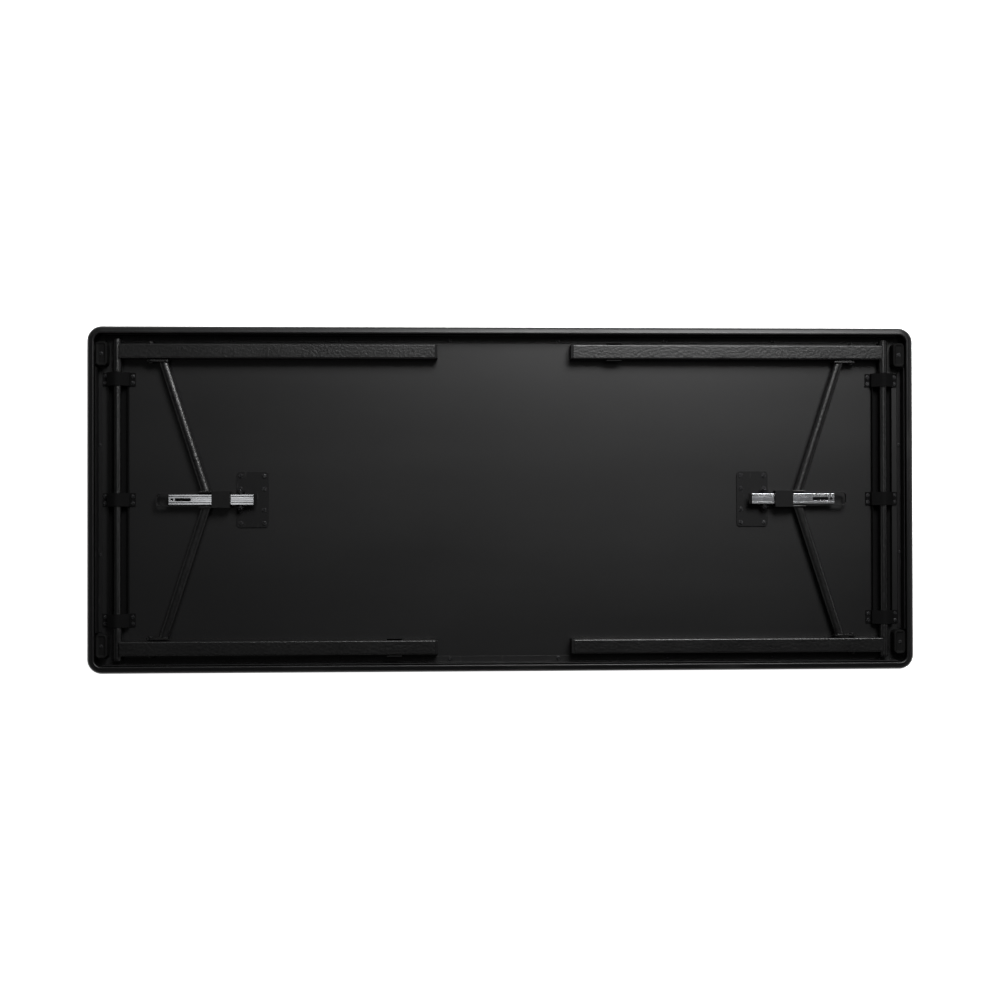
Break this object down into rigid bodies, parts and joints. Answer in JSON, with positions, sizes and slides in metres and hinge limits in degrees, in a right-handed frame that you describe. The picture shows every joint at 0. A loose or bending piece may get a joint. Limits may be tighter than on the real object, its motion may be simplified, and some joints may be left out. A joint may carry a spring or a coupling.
{
  "type": "folding table",
  "caption": "Rectangular folding table lying face down, with square-tube legs folded inside its rolled rim and V braces that slide on slotted rails.",
  "frame": {"origin": "under the middle of the table, on the outer face of its top, which is what it lies on here", "axes": "+X along the table, +Y across it, +Z out of the underside, so the legs point up when they are opened"},
  "size_m": [1.829, 0.762, 0.052],
  "materials": {
    "laminate": "satin black laminate",
    "board": "plywood core, hidden",
    "rim": "smooth black moulding",
    "black_steel": "satin black paint",
    "textured_steel": "textured black powder coat",
    "zinc": "bright zinc plate",
    "plastic": "moulded black plastic",
    "rubber": "soft black moulding"
  },
  "bodies": {
    "table_top": {"top_laminate": "laminate", "core_board": "board", "backing_laminate": "laminate", "edge_rim": "rim", "long_rail_back": "black_steel", "long_rail_front": "black_steel", "end_rail_left": "black_steel", "hinge_channel_left": "black_steel", "hinge_strap_left_middle": "black_steel", "brace_base_left": "black_steel", "rail_pin_left": "zinc", "leg_clip_left": "plastic", "corner_pad_left_back": "rubber", "hinge_strap_left_back": "black_steel", "corner_pad_left_front": "rubber", "hinge_strap_left_front": "black_steel", "end_rail_right": "black_steel", "hinge_channel_right": "black_steel", "hinge_strap_right_middle": "black_steel", "brace_base_right": "black_steel", "rail_pin_right": "zinc", "leg_clip_right": "plastic", "corner_pad_right_back": "rubber", "hinge_strap_right_back": "black_steel", "corner_pad_right_front": "rubber", "hinge_strap_right_front": "black_steel"},
    "left_legs": {"axle_left": "textured_steel", "hinge_sleeve_left_back": "textured_steel", "leg_left_back": "textured_steel", "foot_cap_left_back": "plastic", "pivot_nut_left_back": "black_steel", "hinge_sleeve_left_front": "textured_steel", "leg_left_front": "textured_steel", "foot_cap_left_front": "plastic", "pivot_nut_left_front": "black_steel"},
    "left_rail": {"brace_rail_left": "zinc"},
    "left_brace": {"apex_bracket_left": "textured_steel", "brace_collar_left": "plastic", "brace_arm_left_back": "textured_steel", "pivot_bolt_left_back": "black_steel", "brace_arm_left_front": "textured_steel", "pivot_bolt_left_front": "black_steel"},
    "left_bail": {"release_bail_left": "black_steel"},
    "right_legs": {"axle_right": "textured_steel", "hinge_sleeve_right_back": "textured_steel", "leg_right_back": "textured_steel", "foot_cap_right_back": "plastic", "pivot_nut_right_back": "black_steel", "hinge_sleeve_right_front": "textured_steel", "leg_right_front": "textured_steel", "foot_cap_right_front": "plastic", "pivot_nut_right_front": "black_steel"},
    "right_rail": {"brace_rail_right": "zinc"},
    "right_brace": {"apex_bracket_right": "textured_steel", "brace_collar_right": "plastic", "brace_arm_right_back": "textured_steel", "pivot_bolt_right_back": "black_steel", "brace_arm_right_front": "textured_steel", "pivot_bolt_right_front": "black_steel"},
    "right_bail": {"release_bail_right": "black_steel"}
  },
  "joints": [
    {"name": "left_leg_hinge", "type": "hinge", "parent": "table_top", "child": "left_legs", "pos_m": [-0.851, 0, 0.034], "axis": [0, -1, 0], "range_deg": [0, 90]},
    {"name": "left_rail_hinge", "type": "hinge", "parent": "table_top", "child": "left_rail", "pos_m": [-0.583, 0, 0.034], "axis": [0, 1, 0], "range_deg": [0, 15.14]},
    {"name": "left_brace_slide", "type": "slide", "parent": "left_rail", "child": "left_brace", "axis": [-1, 0, 0], "range_m": [0, 0.0822]},
    {"name": "left_bail_pivot", "type": "hinge", "parent": "left_brace", "child": "left_bail", "pos_m": [-0.636, 0, 0.034], "axis": [0, 1, 0], "range_deg": [0, 5]},
    {"name": "right_leg_hinge", "type": "hinge", "parent": "table_top", "child": "right_legs", "pos_m": [0.851, 0, 0.034], "axis": [0, 1, 0], "range_deg": [0, 90]},
    {"name": "right_rail_hinge", "type": "hinge", "parent": "table_top", "child": "right_rail", "pos_m": [0.583, 0, 0.034], "axis": [0, -1, 0], "range_deg": [0, 15.14]},
    {"name": "right_brace_slide", "type": "slide", "parent": "right_rail", "child": "right_brace", "axis": [1, 0, 0], "range_m": [0, 0.0822]},
    {"name": "right_bail_pivot", "type": "hinge", "parent": "right_brace", "child": "right_bail", "pos_m": [0.636, 0, 0.034], "axis": [0, -1, 0], "range_deg": [0, 5]}
  ],
  "couplings": [
    {"joint": "left_rail_hinge", "follows": "left_leg_hinge", "ratio": 0.16819},
    {"joint": "left_brace_slide", "follows": "left_leg_hinge", "m_per_rad": 0.052288},
    {"joint": "right_rail_hinge", "follows": "right_leg_hinge", "ratio": 0.16819},
    {"joint": "right_brace_slide", "follows": "right_leg_hinge", "m_per_rad": 0.052288}
  ]
}
